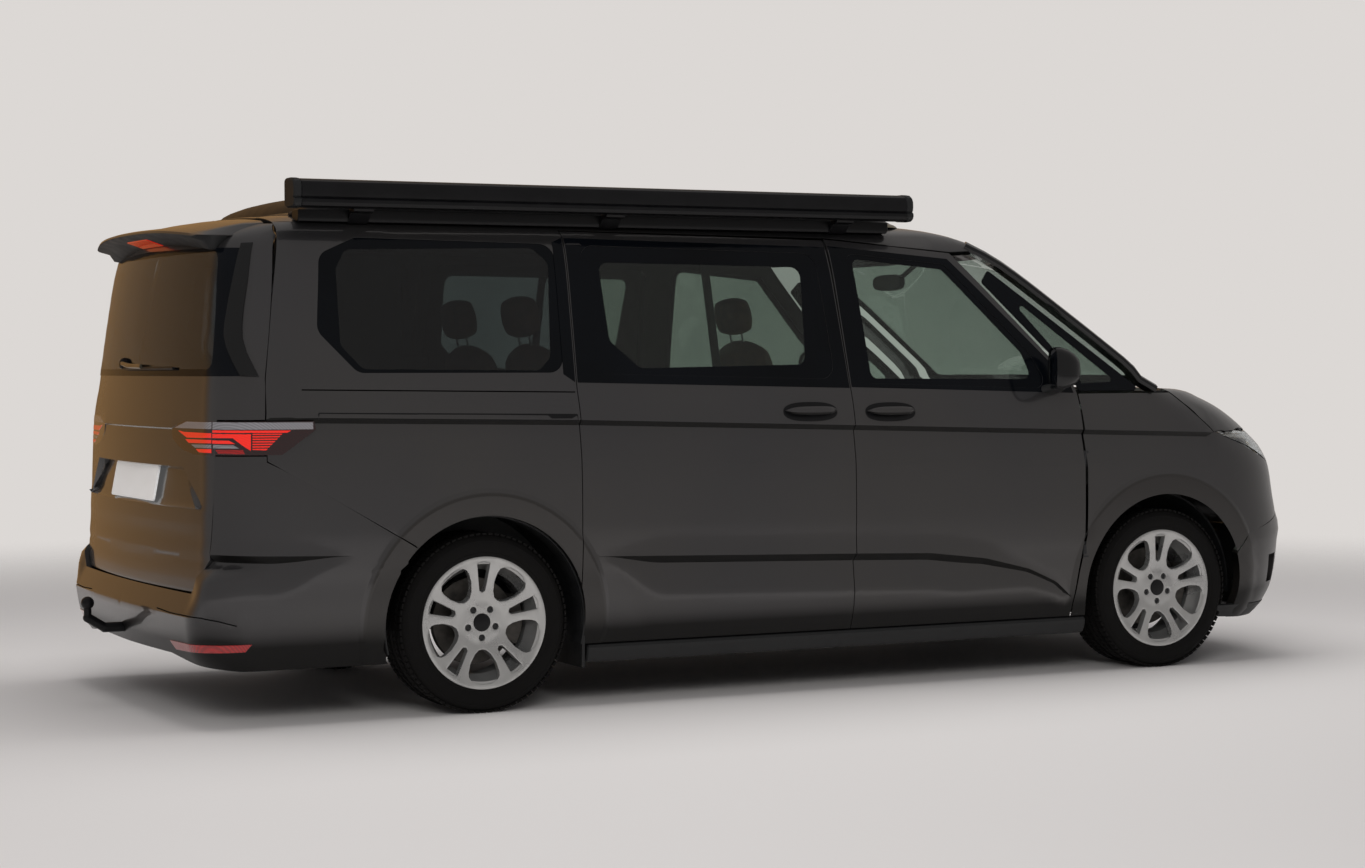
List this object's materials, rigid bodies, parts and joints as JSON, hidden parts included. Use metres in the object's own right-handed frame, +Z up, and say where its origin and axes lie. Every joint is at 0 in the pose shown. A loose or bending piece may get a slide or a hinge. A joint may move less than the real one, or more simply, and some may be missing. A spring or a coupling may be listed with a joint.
{
  "type": "camper van",
  "caption": "Camper van with opening front doors, tailgate, bonnet and lifting roof, steered front wheels, side awning, tow bar and a furnished cabin.",
  "frame": {"origin": "on the ground under the middle of the whole van's box", "axes": "+X forward, +Y to the left, +Z up"},
  "size_m": [5.318, 2.2166, 1.99],
  "materials": {
    "body_paint": "dark grey metallic paint",
    "tinted_glass": "dark tinted glass",
    "black_plastic": "black plastic",
    "awning_metal": "black coated aluminium case",
    "black_steel": "black coated steel",
    "chassis_steel": "dark chassis coating",
    "cast_metal": "cast metal",
    "exhaust_steel": "dull steel",
    "clear_lens": "clear lamp lens",
    "red_lens": "red lamp lens",
    "cabin_plastic": "dark cabin plastic",
    "seat_leather": "tan brown seat cover",
    "cabinet_wood": "light cabinet board",
    "rim_alloy": "silver alloy",
    "tyre_rubber": "black rubber"
  },
  "bodies": {
    "body": {"floor_pan": "chassis_steel", "roof_panel": "body_paint", "side_panel_right": "body_paint", "side_panel_left": "body_paint", "front_wing_right": "body_paint", "front_wing_left": "body_paint", "windscreen": "tinted_glass", "side_windows": "tinted_glass", "sliding_door_right": "body_paint", "sliding_door_left": "body_paint", "front_bumper": "body_paint", "grille": "black_plastic", "headlamps": "clear_lens", "nose_bar": "black_plastic", "rear_bumper": "body_paint", "tail_lamps": "red_lens", "side_sills": "black_plastic", "wheel_liners": "black_plastic", "awning": "awning_metal", "tow_bar": "black_steel", "engine_block": "cast_metal", "exhaust": "exhaust_steel", "front_subframe": "chassis_steel", "rear_axle": "chassis_steel", "dashboard": "cabin_plastic", "front_seats": "seat_leather", "rear_seats": "seat_leather", "kitchen_unit": "cabinet_wood", "hinge_pins": "black_steel"},
    "front_door_right_body": {"front_door_right": "body_paint", "front_door_window_right": "tinted_glass", "mirror_right": "black_plastic", "door_hinge_right": "body_paint"},
    "front_door_left_body": {"front_door_left": "body_paint", "front_door_window_left": "tinted_glass", "mirror_left": "black_plastic", "door_hinge_left": "body_paint"},
    "tailgate_body": {"tailgate": "body_paint", "rear_window": "tinted_glass", "tailgate_lamps": "red_lens", "tailgate_hinges": "black_steel"},
    "bonnet_body": {"bonnet": "body_paint", "bonnet_hinges": "black_steel"},
    "pop_roof_body": {"pop_roof": "black_plastic", "pop_roof_hinges": "black_steel"},
    "steering_wheel_body": {"steering_wheel": "cabin_plastic"},
    "knuckle_right_body": {"knuckle_right": "cast_metal"},
    "knuckle_left_body": {"knuckle_left": "cast_metal"},
    "wheel_front_right": {"rim_front_right": "rim_alloy", "tyre_front_right": "tyre_rubber"},
    "wheel_front_left": {"rim_front_left": "rim_alloy", "tyre_front_left": "tyre_rubber"},
    "wheel_rear_right": {"rim_rear_right": "rim_alloy", "tyre_rear_right": "tyre_rubber"},
    "wheel_rear_left": {"rim_rear_left": "rim_alloy", "tyre_rear_left": "tyre_rubber"}
  },
  "joints": [
    {"name": "front_door_right_swing", "type": "hinge", "parent": "body", "child": "front_door_right_body", "pos_m": [1.33, -0.957, 0.7], "axis": [0, 0, 1], "range_deg": [0, 65]},
    {"name": "front_door_left_swing", "type": "hinge", "parent": "body", "child": "front_door_left_body", "pos_m": [1.33, 0.957, 0.7], "axis": [0, 0, -1], "range_deg": [0, 65]},
    {"name": "tailgate_lift", "type": "hinge", "parent": "body", "child": "tailgate_body", "pos_m": [-2.115, 0, 1.861], "axis": [0, 1, 0], "range_deg": [0, 82]},
    {"name": "bonnet_lift", "type": "hinge", "parent": "body", "child": "bonnet_body", "pos_m": [1.797, 0, 1.178], "axis": [0, -1, 0], "range_deg": [0, 55]},
    {"name": "pop_roof_lift", "type": "hinge", "parent": "body", "child": "pop_roof_body", "pos_m": [-1.999, 0, 1.872], "axis": [0, -1, 0], "range_deg": [0, 24]},
    {"name": "steering_right", "type": "hinge", "parent": "body", "child": "knuckle_right_body", "pos_m": [1.753, -0.72, 0.2], "axis": [0, 0.1736, 0.9848], "range_deg": [-33, 33]},
    {"name": "steering_left", "type": "hinge", "parent": "body", "child": "knuckle_left_body", "pos_m": [1.753, 0.72, 0.2], "axis": [0, -0.1736, 0.9848], "range_deg": [-33, 33]},
    {"name": "steering_wheel_turn", "type": "hinge", "parent": "body", "child": "steering_wheel_body", "pos_m": [1.176, 0.4, 1.05], "axis": [-0.9063, 0, 0.4226], "range_deg": [-495, 495]},
    {"name": "wheel_front_right_spin", "type": "hinge", "parent": "knuckle_right_body", "child": "wheel_front_right", "pos_m": [1.753, -0.812, 0.338], "axis": [0, 1, 0], "continuous": true},
    {"name": "wheel_front_left_spin", "type": "hinge", "parent": "knuckle_left_body", "child": "wheel_front_left", "pos_m": [1.753, 0.812, 0.338], "axis": [0, 1, 0], "continuous": true},
    {"name": "wheel_rear_right_spin", "type": "hinge", "parent": "body", "child": "wheel_rear_right", "pos_m": [-1.371, -0.812, 0.338], "axis": [0, 1, 0], "continuous": true},
    {"name": "wheel_rear_left_spin", "type": "hinge", "parent": "body", "child": "wheel_rear_left", "pos_m": [-1.371, 0.812, 0.338], "axis": [0, 1, 0], "continuous": true}
  ],
  "couplings": [
    {"joint": "steering_left", "follows": "steering_right", "ratio": 1},
    {"joint": "steering_wheel_turn", "follows": "steering_right", "ratio": 15}
  ]
}
